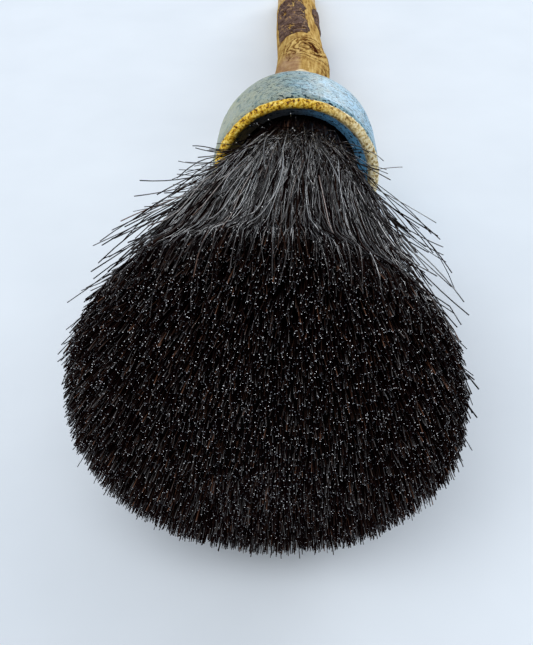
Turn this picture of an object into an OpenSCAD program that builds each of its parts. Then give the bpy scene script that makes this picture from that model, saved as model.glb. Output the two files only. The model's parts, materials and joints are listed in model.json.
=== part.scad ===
// Neck duster brush: a round tuft of black hair, set in a glazed stoneware cup on a natural branch.
// The brush lies on the XY plane with its tuft towards -Y and its handle towards +Y, and +Z is up.
// The origin is on the flat under the tuft, where the hair rests, below the tuft's widest section.
// Each piece is drawn around the brush's own axis: z = 0 is the plane of the cup's rim, z grows
// towards the handle, and on_handle_axis(), on_branch_axis() or on_tuft_axis() then lays the piece
// down in its place.

/* [Hair tuft] */
// Radius of the tuft at its widest section
tuft_r = 35.5; // [30:0.5:40]
// Distance from the cup's rim to the widest section
tuft_reach = 76.5; // [65:0.5:95]
// Depth of the domed end beyond the widest section
tuft_dome = 24; // [15:1:32]
// Radius of the tuft where it leaves the cup
tuft_neck_r = 13.6; // [11:0.1:13.8]
// Share of the tuft's flare that is a straight cone; the rest widens towards the far end
tuft_flare = 0.35; // [0.2:0.05:1]
// How far the lowest hairs are pressed in by the table
tuft_flat = 2.5; // [0.5:0.5:4]
// Angle by which the tuft leans to its left
tuft_lean = 3.4; // [0:0.2:6]

/* [Cup] */
// Largest radius of the cup
cup_r = 20.4; // [19.6:0.1:23]
// Length of the cup from its rim to its back
cup_len = 29; // [27:0.5:33]
// Radius of the cup's flat back, around the handle
cup_back_r = 9.9; // [9:0.1:12]
// Radius of the hole that holds the hair
cup_hole_r = 15; // [14.8:0.1:15.6]
// Depth of that hole
cup_depth = 18; // [17.5:0.5:18.5]
// Radius of the rounded bead around the rim
bead_r = 1.2; // [0.8:0.1:1.5]

/* [Handle] */
// Length of the branch outside the cup
handle_len = 150; // [130:5:200]
// Radius of the branch between the neck and the grip
branch_r = 7.5; // [7.2:0.1:8.2]
// Radius of the shaved grip
grip_r = 7.2; // [6.8:0.1:7.2]
// Length of the shaved grip
grip_len = 42; // [30:1:42]
// How far the knot stands out of the branch
knot_rise = 1.1; // [0.5:0.1:2.5]
// Distance from the cup's back to the middle of the knot
knot_out = 44; // [38:0.5:50]
// Radius of the whittled neck, whose end is glued into the cup
neck_r = 6.4; // [5.5:0.1:6.6]
// Length of the whittled neck between the cup and the full branch
neck_len = 24; // [4:0.5:28]
// How far the branch sits to the right of its neck
branch_shift = 1; // [0:0.1:1]
// Thickness of the bark that is left on the branch
bark_t = 0.6; // [0.4:0.1:1]

/* [Binding] */
// Thickness of the cord around the hair root
cord_d = 1.2; // [0.8:0.1:1.2]
// Turns of the cord
cord_turns = 3; // [2:1:3]

/* [Hidden] */

// Gap between two pieces that touch, and between the turns of the cord
gap = 0.02;
cord_gap = 0.05;
steps = 24;

// The hair bends at the tip of two shallow cones, just inside the cup. The cones leave room to swing.
flex_z = 3;
flex_gap = 0.3;
tuft_cone = 12;
root_cone = 13;

// Hair root, from the flex gap to the bottom of the cup, with a waist for the cord
root_r = 13.4;
waist_r = 11.4;
waist_z = 9.4;
waist_len = cord_turns * (cord_d + cord_gap) + cord_d + 0.4;
root_end = cup_depth - 1.6;
resin_z = 7.5;

// The cup is widest here, and its shoulder falls to the back along a power curve
belly_z = 7.4;
belly_power = 5.4;
shoulder_len = (cup_len - belly_z) / pow(1 - cup_back_r / cup_r, 1 / belly_power);
flare_z = 4;

// Glue film around the peg, and the bead squeezed out of the cup's back
film = 0.36;
socket_r = neck_r + film + 2 * gap;
peg_end = cup_depth + 4 * gap;
squeeze_out = 1.4;

shoulder_z = cup_len + neck_len;
knot_z = cup_len + knot_out;
knot_width = 11;
knot_end = knot_z + 3 * knot_width;
handle_end = cup_len + handle_len;
butt_chamfer = 1;
neck_overlap = 1;
grip_z = handle_end - butt_chamfer - grip_len;
grip_step = 0.6;

// Height of the brush axis above the table at the tuft's widest section
tuft_h = tuft_r - tuft_flat;
// The butt's lower edge touches the table, which tilts the handle down by this angle
rest_len = tuft_reach + handle_end - butt_chamfer;
tilt = asin(tuft_h / norm([rest_len, grip_r])) - atan(grip_r / rest_len);

// The flex point in the part's frame: the tuft hangs from it, and the rest pose leans about it
flex_len = tuft_reach + flex_z;
flex_point = [
    flex_len * cos(tilt) * sin(tuft_lean),
    flex_len * cos(tilt) * cos(tuft_lean),
    tuft_h - flex_len * sin(tilt)
];

// Radius of the tuft, for u from 0 at the flex point to 1 at the widest section
function tuft_side_r(u) =
    tuft_neck_r + (tuft_r - tuft_neck_r) * (tuft_flare * u + (1 - tuft_flare) * u * u);

// Radius of the cup's outside behind its belly
function shoulder_r(z) = cup_r * (1 - pow(max(0, z - belly_z) / shoulder_len, belly_power));

// Radius of the branch outside the cup, with the knot as a smooth swelling
function knotty_r(z) = branch_r + knot_rise * exp(-pow((z - knot_z) / knot_width, 2));

// Point number i of n along an arc, as [radius, height]
function arc_point(centre, r, start, end, i, n) =
    centre + r * [cos(start + (end - start) * i / n), sin(start + (end - start) * i / n)];

module on_handle_axis() {
    translate(flex_point)
        rotate([-90 - tilt, 0, 0])
            translate([0, 0, -flex_z])
                children();
}

module on_branch_axis() {
    on_handle_axis()
        translate([branch_shift, 0, 0])
            children();
}

module on_tuft_axis() {
    translate(flex_point)
        rotate([0, 0, -tuft_lean])
            rotate([-90 - tilt, 0, 0])
                translate([0, 0, -flex_z])
                    children();
}

// A tube along a helix around the z axis, closed at both ends, with its flat spans outside radius r
module helix(r, wire_r, pitch, turns) {
    per_turn = 24;
    sides = 8;
    rings = per_turn * turns;
    corner_r = r / cos(180 / per_turn);
    points = [
        for (i = [0:rings], j = [0:sides - 1])
            let (turn = 360 * i / per_turn, a = 360 * j / sides, out = corner_r + wire_r * cos(a))
            [out * cos(turn), out * sin(turn), pitch * i / per_turn + wire_r * sin(a)]
    ];
    walls = [
        for (i = [0:rings - 1], j = [0:sides - 1])
            let (a = i * sides + j, b = i * sides + (j + 1) % sides)
            each [[a, b, b + sides], [a, b + sides, a + sides]]
    ];
    ends = [
        [for (j = [sides - 1:-1:0]) j],
        [for (j = [0:sides - 1]) rings * sides + j]
    ];
    polyhedron(points, concat(walls, ends));
}

// The free hair, as one solid that fills the tuft's outline, cut flat where it lies on the table
module hair_tuft() {
    big = 4 * tuft_r;
    neck_z = flex_z - tuft_neck_r * tan(tuft_cone);
    side = [
        for (i = [0:steps])
            let (u = i / steps)
            [tuft_side_r(u), neck_z - u * (tuft_reach + neck_z)]
    ];
    dome = [
        for (i = [1:steps])
            let (a = 90 * i / steps)
            [tuft_r * cos(a), -tuft_reach - tuft_dome * sin(a)]
    ];
    color("#17120f")
        difference() {
            on_tuft_axis()
                rotate_extrude($fn = 96)
                    polygon(concat([[0, flex_z]], side, dome));
            translate([-big, -big, -big])
                cube([2 * big, 2 * big, big]);
        }
}

// The bound end of the hair bundle, with a waist where the cord pulls it in
module hair_root() {
    front_z = flex_z + flex_gap;
    edge = 0.6;
    color("#1d1713")
        on_handle_axis()
            rotate_extrude($fn = 96)
                polygon([
                    [0, front_z],
                    [root_r, front_z + root_r * tan(root_cone)],
                    [root_r, waist_z - edge],
                    [waist_r, waist_z],
                    [waist_r, waist_z + waist_len],
                    [root_r, waist_z + waist_len + edge],
                    [root_r, root_end - edge],
                    [root_r - edge, root_end],
                    [0, root_end]
                ]);
}

// The cord whipped around the waist of the hair root
module binding_cord() {
    color("#cdbb93")
        on_handle_axis()
            translate([0, 0, waist_z + cord_d / 2 + 0.2])
                helix(waist_r + gap + cord_d / 2, cord_d / 2, cord_d + cord_gap, cord_turns);
}

// The resin that sets the hair root in the cup: a ring around it and a floor behind it
module potting_resin() {
    color("#7a5a2c")
        on_handle_axis()
            rotate_extrude($fn = 96)
                polygon([
                    [root_r + gap, resin_z],
                    [cup_hole_r - gap, resin_z],
                    [cup_hole_r - gap, cup_depth - gap],
                    [0, cup_depth - gap],
                    [0, root_end + gap],
                    [root_r + gap, root_end + gap]
                ]);
}

// The stoneware cup: a round bead at the rim, a flared mouth, the hair's hole and the peg's socket
module cup_ferrule() {
    bead_centre = [cup_r - bead_r - 0.1, bead_r];
    bead = [for (i = [0:steps]) arc_point(bead_centre, bead_r, 0, -180, i, steps)];
    shoulder = [
        for (i = [0:steps])
            let (z = cup_len - (cup_len - belly_z) * i / steps)
            [shoulder_r(z), z]
    ];
    color("#a9c4cf")
        on_handle_axis()
            rotate_extrude($fn = 96)
                polygon(concat(
                    shoulder,
                    bead,
                    [
                        [cup_hole_r, flare_z],
                        [cup_hole_r, cup_depth],
                        [socket_r, cup_depth],
                        [socket_r, cup_len]
                    ]
                ));
}

// The glue around the peg, with the pale bead that it squeezed out against the neck
module handle_glue() {
    inner_r = neck_r + gap;
    bead_z = cup_len + gap;
    bead = [
        for (i = [0:steps])
            let (a = 90 * i / steps)
            [inner_r + squeeze_out * cos(a), bead_z + squeeze_out * sin(a)]
    ];
    color("#e9dcc0")
        on_handle_axis()
            rotate_extrude($fn = 96)
                polygon(concat(
                    [
                        [inner_r, peg_end],
                        [socket_r - gap, peg_end],
                        [socket_r - gap, bead_z]
                    ],
                    bead
                ));
}

// The branch: a whittled peg and neck, then a shoulder, the knot, and a shaved grip to the butt
module handle() {
    peg_edge = 0.5;
    knot = [
        for (i = [0:2 * steps])
            let (z = shoulder_z + (knot_end - shoulder_z) * i / (2 * steps))
            [knotty_r(z), z]
    ];
    color("#c89a5b")
        union() {
            on_handle_axis()
                rotate_extrude($fn = 96)
                    polygon([
                        [0, peg_end],
                        [neck_r - peg_edge, peg_end],
                        [neck_r, peg_end + peg_edge],
                        [neck_r, shoulder_z + neck_overlap],
                        [0, shoulder_z + neck_overlap]
                    ]);
            on_branch_axis()
                rotate_extrude($fn = 96)
                    polygon(concat(
                        [[0, shoulder_z]],
                        knot,
                        [
                            [branch_r, grip_z - grip_step],
                            [grip_r, grip_z],
                            [grip_r, handle_end - butt_chamfer],
                            [grip_r - butt_chamfer, handle_end],
                            [0, handle_end]
                        ]
                    ));
        }
}

// One flake of bark that hugs the branch from z0 to z1, over a turn that starts at the angle start
module bark_flake(z0, z1, start, turn) {
    inner = [for (i = [0:steps]) let (z = z0 + (z1 - z0) * i / steps) [knotty_r(z) + gap, z]];
    outer = [for (i = [0:steps]) let (z = z1 - (z1 - z0) * i / steps) [knotty_r(z) + bark_t, z]];
    rotate([0, 0, start])
        rotate_extrude(angle = turn, $fn = 96)
            polygon(concat(inner, outer));
}

// The bark left on the branch between the knot and the grip, with bare streaks between the flakes
module bark_patches() {
    color("#6b5147")
        on_branch_axis() {
            bark_flake(knot_z + 17, knot_z + 58, 205, 83);
            bark_flake(knot_z + 36, knot_z + 58, 318, 44);
            bark_flake(knot_z + 24, knot_z + 60, 14, 116);
        }
}

hair_tuft();
hair_root();
binding_cord();
potting_resin();
cup_ferrule();
handle_glue();
handle();
bark_patches();
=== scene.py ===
"""Looks of the neck duster brush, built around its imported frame: hair, glazed cup, branch and bark.

Shapes are worked out in millimetres, in coordinates around two axes of the frame. The handle's axis
starts at the cup's rim and runs to the butt, and the tuft's axis starts at the flex point and runs
to the tuft's far end. Angles around both are 0 towards +X and 90 degrees at the top.
"""

import itertools
import json
import math

import bmesh
import bpy
import numpy as np
from mathutils import Matrix, Vector


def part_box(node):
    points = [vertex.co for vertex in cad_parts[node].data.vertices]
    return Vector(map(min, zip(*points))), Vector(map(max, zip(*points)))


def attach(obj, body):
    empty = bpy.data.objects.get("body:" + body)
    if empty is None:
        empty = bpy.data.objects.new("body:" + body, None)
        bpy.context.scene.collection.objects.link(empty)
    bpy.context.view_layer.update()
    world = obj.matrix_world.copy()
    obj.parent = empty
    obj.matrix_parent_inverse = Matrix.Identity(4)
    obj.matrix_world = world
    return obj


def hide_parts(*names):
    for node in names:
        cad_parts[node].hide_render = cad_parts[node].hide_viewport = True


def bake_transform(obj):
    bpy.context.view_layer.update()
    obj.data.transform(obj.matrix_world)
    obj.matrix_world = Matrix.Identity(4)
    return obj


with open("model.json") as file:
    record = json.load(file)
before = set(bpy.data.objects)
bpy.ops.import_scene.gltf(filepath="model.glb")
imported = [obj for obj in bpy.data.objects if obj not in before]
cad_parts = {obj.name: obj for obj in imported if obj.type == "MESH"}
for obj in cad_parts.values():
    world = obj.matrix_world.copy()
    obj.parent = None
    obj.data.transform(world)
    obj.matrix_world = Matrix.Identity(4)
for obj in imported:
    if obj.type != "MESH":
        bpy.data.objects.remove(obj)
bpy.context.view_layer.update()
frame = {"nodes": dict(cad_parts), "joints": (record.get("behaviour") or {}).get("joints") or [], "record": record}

MM = 0.001
UP = np.array([0.0, 0.0, 1.0])
BODY = "brush_body"
rng = np.random.default_rng(7)


# Measuring the frame

def unit(vectors):
    return vectors / np.linalg.norm(vectors, axis=-1, keepdims=True)


def smooth(low, high, values):
    """0 below low, 1 above high, and a smooth step between them."""
    t = np.clip((values - low) / (high - low), 0, 1)
    return t * t * (3 - 2 * t)


def bell(values, centre, width):
    return np.exp(-(((values - centre) / width) ** 2))


def flat_place(radius, angle, along):
    """Coordinates about an axis, as [across, up, along]."""
    return np.stack([radius * np.cos(angle), radius * np.sin(angle), along], -1)


class Axis:
    """A straight axis in the frame, with round coordinates (radius, angle, along) about it."""

    def __init__(self, origin, along):
        self.origin = np.array(origin, float)
        self.along = unit(np.array(along, float))
        across = unit(np.cross(self.along, UP))
        self.across = across * np.sign(across[0])
        self.up = np.cross(self.across, self.along) * np.sign(self.along[1])

    def place(self, radius, angle, along):
        radius, angle, along = np.broadcast_arrays(radius, angle, along)
        sideways = (radius * np.cos(angle))[..., None] * self.across
        upwards = (radius * np.sin(angle))[..., None] * self.up
        return self.origin + sideways + upwards + along[..., None] * self.along

    def measure(self, points):
        out = points - self.origin
        sideways, upwards, along = out @ self.across, out @ self.up, out @ self.along
        return np.hypot(sideways, upwards), np.arctan2(upwards, sideways), along


def corners(node):
    return np.array([v.co for v in frame["nodes"][node].data.vertices], float) / MM


def section(node, axis):
    """The node's outline as sorted [along, radius] pairs, from the vertices on its upper side."""
    radius, angle, along = axis.measure(corners(node))
    upper = (np.sin(angle) > 0.5) | (radius < 0.01)
    return np.unique(np.round(np.stack([along, radius], 1)[upper], 2), axis=0)


def outer_radius(pairs, along):
    """The largest radius of a section at each place along it."""
    levels = np.unique(pairs[:, 0])
    largest = [pairs[pairs[:, 0] == level, 1].max() for level in levels]
    return np.interp(along, levels, largest)


FLEX = np.array(frame["joints"][0]["pos_m"]) / MM
grip_mount = next(m for m in frame["record"]["mounts"] if m["name"] == "handle_grip")
flex_axis = Axis(FLEX, grip_mount["axis"])
rim_offset = section("cup_ferrule", flex_axis)[:, 0].min()
handle_axis = Axis(FLEX + rim_offset * flex_axis.along, grip_mount["axis"])
branch_shift = (np.array(grip_mount["pos_m"]) / MM - FLEX) @ handle_axis.across
branch_axis = Axis(handle_axis.origin + branch_shift * handle_axis.across, grip_mount["axis"])

tuft_low, tuft_high = (np.array(corner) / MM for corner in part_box("hair_tuft"))
tuft_r = (tuft_high[0] - tuft_low[0]) / 2
tuft_axis = Axis(FLEX, np.array([0, 0, tuft_high[2] - tuft_r]) - FLEX)
tuft_section = section("hair_tuft", tuft_axis)
tuft_end = tuft_section[:, 0].max()
tuft_reach = tuft_section[tuft_section[:, 1].argmax(), 0]
neck_out = tuft_section[1, 0]

cup_section = section("cup_ferrule", handle_axis)
cup_len = cup_section[:, 0].max()
cup_r = cup_section[:, 1].max()
resin_section = section("potting_resin", handle_axis)
mouth_r = resin_section[:, 1].max()
mouth_depth = resin_section[:, 0].max()
branch_section = section("handle", branch_axis)
handle_end = branch_section[:, 0].max()


# Noise

LATTICE = 32
NOISE_OCTAVES = 4
lattices = rng.uniform(-1, 1, (NOISE_OCTAVES, LATTICE, LATTICE, LATTICE))


def noise(points, size, layer=0):
    """Smooth noise from -1 to 1 at each point, with features of about the given size."""
    scaled = np.asarray(points, float) / size
    cell = np.floor(scaled).astype(int)
    part = scaled - cell
    part = part * part * (3 - 2 * part)
    total = np.zeros(scaled.shape[:-1])
    for step in itertools.product((0, 1), repeat=3):
        weight = np.prod(np.where(step, part, 1 - part), axis=-1)
        corner = (cell + np.array(step)) % LATTICE
        total += weight * lattices[layer][corner[..., 0], corner[..., 1], corner[..., 2]]
    return total


def rough_noise(points, size, layer=0, octaves=3):
    """Noise with finer detail added, each octave half the size and half the height."""
    scale = 0.5 ** np.arange(octaves)
    layers = [(layer + i) % NOISE_OCTAVES for i in range(octaves)]
    return sum(s * noise(points, size * s, k) for s, k in zip(scale, layers)) / scale.sum()


# Meshes

BAKE_UV = "OFBake"


def new_piece(name, points, quads, triangles, quad_uv, triangle_uv, flat_triangles=False):
    """A mesh object from arrays in millimetres; each face has one UV per corner."""
    mesh = bpy.data.meshes.new(name)
    mesh.vertices.add(len(points))
    mesh.vertices.foreach_set("co", (np.asarray(points) * MM).astype(np.float32).ravel())
    mesh.loops.add(quads.size + triangles.size)
    mesh.loops.foreach_set("vertex_index", np.concatenate([quads.ravel(), triangles.ravel()]))
    mesh.polygons.add(len(quads) + len(triangles))
    starts = [np.arange(len(quads)) * 4, quads.size + np.arange(len(triangles)) * 3]
    mesh.polygons.foreach_set("loop_start", np.concatenate(starts))
    is_smooth = np.ones(len(quads) + len(triangles), bool)
    is_smooth[len(quads):] = not flat_triangles
    mesh.polygons.foreach_set("use_smooth", is_smooth)
    mesh.update(calc_edges=True)
    uv = np.concatenate([quad_uv.reshape(-1, 2), triangle_uv.reshape(-1, 2)])
    mesh.uv_layers.new(name=BAKE_UV).data.foreach_set("uv", uv.astype(np.float32).ravel())
    piece = bpy.data.objects.new(name, mesh)
    bpy.context.scene.collection.objects.link(piece)
    return piece


def paint(piece, name, values):
    """Stores one number, or one vector, per point for the materials to read."""
    values = np.asarray(values, np.float32)
    kind, field = ("FLOAT_VECTOR", "vector") if values.ndim > 1 else ("FLOAT", "value")
    attribute = piece.data.attributes.new(name, kind, "POINT")
    attribute.data.foreach_set(field, values.ravel())


def inside_out(points, quads, triangles):
    """Whether the faces of a closed mesh look inwards."""
    faces = np.concatenate([quads[:, [0, 1, 2]], quads[:, [0, 2, 3]], triangles])
    a, b, c = (points[faces[:, k]] for k in range(3))
    return np.einsum("ij,ij->", a - points[0], np.cross(b - a, c - a)) < 0


def turned(name, grid, closed=False):
    """A mesh from a grid of points [rows, columns] whose columns run round an axis.

    The rows join up when closed, and otherwise each end is closed with a point on the axis.
    """
    rows, columns = grid.shape[:2]
    points = grid.reshape(-1, 3)
    row = np.arange(rows if closed else rows - 1)[:, None]
    column = np.arange(columns)[None]
    right = (column + 1) % columns
    below = (row + 1) % rows
    quads = np.stack(
        [row * columns + column, row * columns + right, below * columns + right, below * columns + column],
        axis=-1,
    ).reshape(-1, 4)
    u, v = column / columns, row / rows
    step_u, step_v = 1 / columns, 1 / rows
    quad_uv = np.stack(
        [np.stack(np.broadcast_arrays(u + du, v + dv), -1)
         for du, dv in ((0, 0), (step_u, 0), (step_u, step_v), (0, step_v))],
        axis=-2,
    ).reshape(-1, 4, 2)
    triangles = np.zeros((0, 3), int)
    triangle_uv = np.zeros((0, 3, 2))
    if not closed:
        poles = grid[[0, -1]].mean(axis=1)
        points = np.concatenate([points, poles])
        first = np.arange(columns)
        last = first + (rows - 1) * columns
        top, bottom = rows * columns, rows * columns + 1
        turn = (first + 1) % columns
        triangles = np.concatenate([
            np.stack([turn, first, np.full(columns, top)], 1),
            np.stack([last, turn + (rows - 1) * columns, np.full(columns, bottom)], 1),
        ])
        edge = (rows - 1) / rows
        spans = list(zip(first * step_u, (first + 1) * step_u))
        triangle_uv = np.array(
            [[(u1, 0), (u0, 0), (u0, step_v / 2)] for u0, u1 in spans]
            + [[(u0, edge), (u1, edge), (u0, edge + step_v / 2)] for u0, u1 in spans]
        )
    if inside_out(points, quads, triangles):
        quads, quad_uv = quads[:, ::-1], quad_uv[:, ::-1]
        triangles, triangle_uv = triangles[:, ::-1], triangle_uv[:, ::-1]
    return new_piece(name, points, quads, triangles, quad_uv, triangle_uv)


def length_so_far(line):
    return np.concatenate([[0], np.cumsum(np.linalg.norm(np.diff(line, axis=0), axis=1))])


def resample(pairs, step):
    """Points every step along a line of [along, radius] pairs."""
    pairs = np.asarray(pairs, float)
    length = length_so_far(pairs)
    at = np.linspace(0, length[-1], int(length[-1] / step) + 1)
    return np.stack([np.interp(at, length, pairs[:, k]) for k in range(2)], 1)


def spun(line, columns):
    """The line's two coordinates and the angle, on a grid whose columns run once round an axis."""
    angle = np.linspace(0, 2 * np.pi, columns, endpoint=False)[None]
    return line[:, :1] + 0 * angle, line[:, 1:] + 0 * angle, angle + 0 * line[:, :1]


def stand_for(piece, node, look):
    """Gives a rigid piece its material, and lets it stand for a node of the frame."""
    piece.data.materials.append(look)
    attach(piece, BODY)
    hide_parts(node)


# Materials

class Nodes:
    """A node tree written as short calls, which return sockets."""

    def __init__(self, tree):
        self.tree = tree

    def link(self, value, socket):
        if isinstance(value, bpy.types.NodeSocket):
            self.tree.links.new(value, socket)
        elif isinstance(value, (tuple, list)) and socket.type == "RGBA":
            socket.default_value = (*value, 1)
        else:
            socket.default_value = value

    def new(self, kind, inputs=(), **properties):
        """A node with its properties set, and with its inputs, by name or number, set or linked."""
        made = self.tree.nodes.new("ShaderNode" + kind)
        for name, value in properties.items():
            setattr(made, name, value)
        for key, value in dict(inputs).items():
            self.link(value, made.inputs[key])
        return made

    def attribute(self, name, output="Fac"):
        return self.new("Attribute", attribute_name=name).outputs[output]

    def math(self, operation, a, b=0.0):
        return self.new("Math", {0: a, 1: b}, operation=operation).outputs[0]

    def plus(self, a, b):
        return self.math("ADD", a, b)

    def times(self, a, b):
        return self.math("MULTIPLY", a, b)

    def rest(self, value):
        """What is left of 1."""
        return self.math("SUBTRACT", 1.0, value)

    def scale(self, vector, factors):
        return self.new("VectorMath", {0: vector, 1: factors}, operation="MULTIPLY").outputs[0]

    def parts(self, vector):
        return self.new("SeparateXYZ", {0: vector}).outputs

    def noise(self, vector, scale, detail=3.0, distortion=0.0):
        inputs = {"Vector": vector, "Scale": scale, "Detail": detail, "Distortion": distortion}
        return self.new("TexNoise", inputs).outputs["Fac"]

    def ramp(self, value, *stops):
        """Colour or grey stops as (position, colour), read along value."""
        made = self.new("ValToRGB", {0: value})
        elements = made.color_ramp.elements
        while len(elements) < len(stops):
            elements.new(0.5)
        for element, (position, colour) in zip(elements, stops):
            element.position = position
            element.color = (*colour, 1) if isinstance(colour, tuple) else (colour,) * 3 + (1,)
        return made.outputs[0]

    def mix(self, factor, a, b):
        made = self.new("Mix", {0: factor}, data_type="RGBA")
        for value, socket in zip((a, b), [s for s in made.inputs if s.type == "RGBA"]):
            self.link(value, socket)
        return next(s for s in made.outputs if s.type == "RGBA")


class Look(Nodes):
    """A Principled material."""

    def __init__(self, name, **settings):
        self.material = bpy.data.materials.new(name)
        self.material.use_nodes = True
        super().__init__(self.material.node_tree)
        self.shader = self.tree.nodes["Principled BSDF"]
        self.set(**settings)

    def set(self, **settings):
        """Sets Principled inputs, where base_color means Base Color."""
        for name, value in settings.items():
            self.link(value, self.shader.inputs[name.replace("_", " ").title().replace("Ior", "IOR")])

    def bump(self, height, distance, strength=1.0):
        made = self.new("Bump", {"Height": height, "Distance": distance * MM, "Strength": strength})
        self.link(made.outputs[0], self.shader.inputs["Normal"])


# The hair

STRAND_SIDES = 3
SHADE_COLUMNS = 64
HAIR_PIECE_TRIANGLES = 190_000
TABLE_GAP = 0.15
TIP_BAND = 0.965
STRAND_R = 0.115
STRAND_R_RANGE = (0.75, 1.2)
TABLE_SPREAD = 0.7
ROOT_R = 14.3
ROOT_OUT = -1.0
ROOT_SPLAY = 0.24
ROOT_SWAY = 0.4
ARM = 0.36
POINT_CROWDING = 0.85
FAN_BACK = 30.0
BOW = 2.3
DROOP = 0.24
SAG = 0.09
PRESS = 3.2
HUG = 0.85
NECK_END = 28.0
WIDEST = tuft_reach - 2
DOME_START = tuft_reach - 4
TIP_DENSITY = [(24, 0.4), (46, 0.35), (60, 0.7), (DOME_START, 1.4), (DOME_START + 12, 3.6)]
GOLDEN_ANGLE = math.pi * (3 - math.sqrt(5))
UNEVEN_CUT = 0.4
SHORT_SHARE = 0.5
SHORTEST = 4.2
DOME_FULLER = 1.5
END_INSET = 3.4
LOCK_SIZE = 7.0
LOCK_HEIGHT = 0.8
CORE_INSET = 4.4
CORE_LEVELS = 130
CORE_STEP = 0.7
CORE_COLUMNS = 160
ROOT_CONE = math.radians(12.5)


def thinning(out, angle):
    """How far the coat lies inside the frame's outline.

    The hair bows to the left, its top sags, and the table presses its underside.
    """
    pressed = np.clip(-np.sin(angle), 0, 1) ** 3 * smooth(tuft_reach - 2, tuft_reach + 12, out)
    slim = 0.8 * smooth(0, 14, out) - 2.0 * bell(out, 30, 14) + 3.2 * bell(out, 75, 15)
    slim = slim - 1.0 * smooth(70, 88, out)
    sunk = SAG * tuft_radius(out) * np.clip(np.sin(angle), 0, 1) ** 2 * smooth(22, 70, out)
    return slim + sunk + BOW * np.cos(angle) * bell(out, 60, 25) + PRESS * pressed


def tuft_radius(out):
    return outer_radius(tuft_section, out)


def hug(lines, lift, until):
    """Lays strands on the coat: where one would pass above it by more than its lift, it bends in."""
    radius, angle, out = tuft_axis.measure(lines)
    above = radius - (tuft_radius(out) - thinning(out, angle) + lift[:, None])
    flared = smooth(2, 14, out) * (1 - smooth(until, until + 10, out))
    radius = radius - HUG * np.maximum(above, 0) * flared
    return tuft_axis.place(radius, angle, out)


def outline_table(step=0.4):
    """The tuft's outline from its far end back to its neck, as out, radius and length so far."""
    levels = np.unique(tuft_section[:, 0])
    pairs = np.stack([levels, tuft_radius(levels)], 1)
    pairs = pairs[pairs[:, 0] >= neck_out][::-1]
    pairs = np.concatenate([[[tuft_end, 0]], pairs[pairs[:, 1] > 0.5]])
    line = resample(pairs, step)
    return line[:, 0], line[:, 1], length_so_far(line)


outline_out, outline_r, outline_length = outline_table()


def bezier(p0, p1, p2, p3, t):
    p0, p1, p2, p3 = (p[:, None] for p in (p0, p1, p2, p3))
    t = t[..., None]
    return (1 - t) ** 3 * p0 + 3 * (1 - t) ** 2 * t * p1 + 3 * (1 - t) * t ** 2 * p2 + t ** 3 * p3


def fanned(tips, back, degrees, droop=1.0, until=WIDEST):
    """Directions that fan to the tips from a point on the axis, each turned a little at random.

    The hair on top of the flare also droops towards the table.
    """
    fan = unit(tips - (FLEX - back * tuft_axis.along))
    _, angle, out = tuft_axis.measure(tips)
    on_top = np.clip(np.sin(angle), 0, 1) * smooth(18, 36, out) * (1 - smooth(until, until + 12, out))
    drooping = unit(fan - (droop * DROOP * on_top)[:, None] * UP)
    return unit(drooping + math.tan(math.radians(degrees)) * 0.8 * rng.normal(size=tips.shape))


def grow(tips, directions, root_r, lift, visible, segments, curl=0.014, twist=0.12, until=WIDEST):
    """Centre lines that run from the root in the cup to their tips, cut to their visible length."""
    count = len(tips)
    _, tip_angle, _ = tuft_axis.measure(tips)
    root_angle = tip_angle + rng.normal(0, twist, count)
    root_along = np.full(count, -rim_offset - ROOT_OUT)
    centre = handle_axis.place(0.0, root_angle, root_along)
    roots = handle_axis.place(root_r, root_angle, root_along)
    length = np.linalg.norm(tips - roots, axis=1)[:, None]
    sway = length * curl * rng.normal(size=(2, count, 3))
    rise = tuft_axis.along + ROOT_SPLAY * (roots - centre) / ROOT_R
    start = roots + rise * length * ARM + ROOT_SWAY * sway[0]
    end = tips - directions * length * ARM + sway[1]
    begin = np.clip(1 - visible / length[:, 0], 0, 1)
    t = begin[:, None] + (1 - begin[:, None]) * np.linspace(0, 1, segments + 1) ** POINT_CROWDING
    return hug(bezier(roots, start, end, tips, t), lift, until)


def strands(lines, thickness=1.0):
    """Tubes around centre lines, as rings of points; none goes under the table."""
    count = len(lines)
    floor = TABLE_GAP + STRAND_R + rng.uniform(0, TABLE_SPREAD, (count, 1))
    lines[..., 2] = np.maximum(lines[..., 2], floor)
    run = unit(np.gradient(lines, axis=1))
    side = unit(np.cross(run, rng.normal(size=(count, 1, 3))))
    other = np.cross(run, side)
    turn = 2 * np.pi * np.arange(STRAND_SIDES) / STRAND_SIDES
    radius = STRAND_R * thickness * rng.uniform(*STRAND_R_RANGE, (count, 1, 1, 1))
    ring = side[:, :, None] * np.cos(turn)[:, None] + other[:, :, None] * np.sin(turn)[:, None]
    return lines[:, :, None] + radius * ring


def bend(piece, look):
    """Gives a piece of hair its material, and bakes its placement into its points."""
    piece.data.materials.append(look)
    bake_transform(piece)


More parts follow.
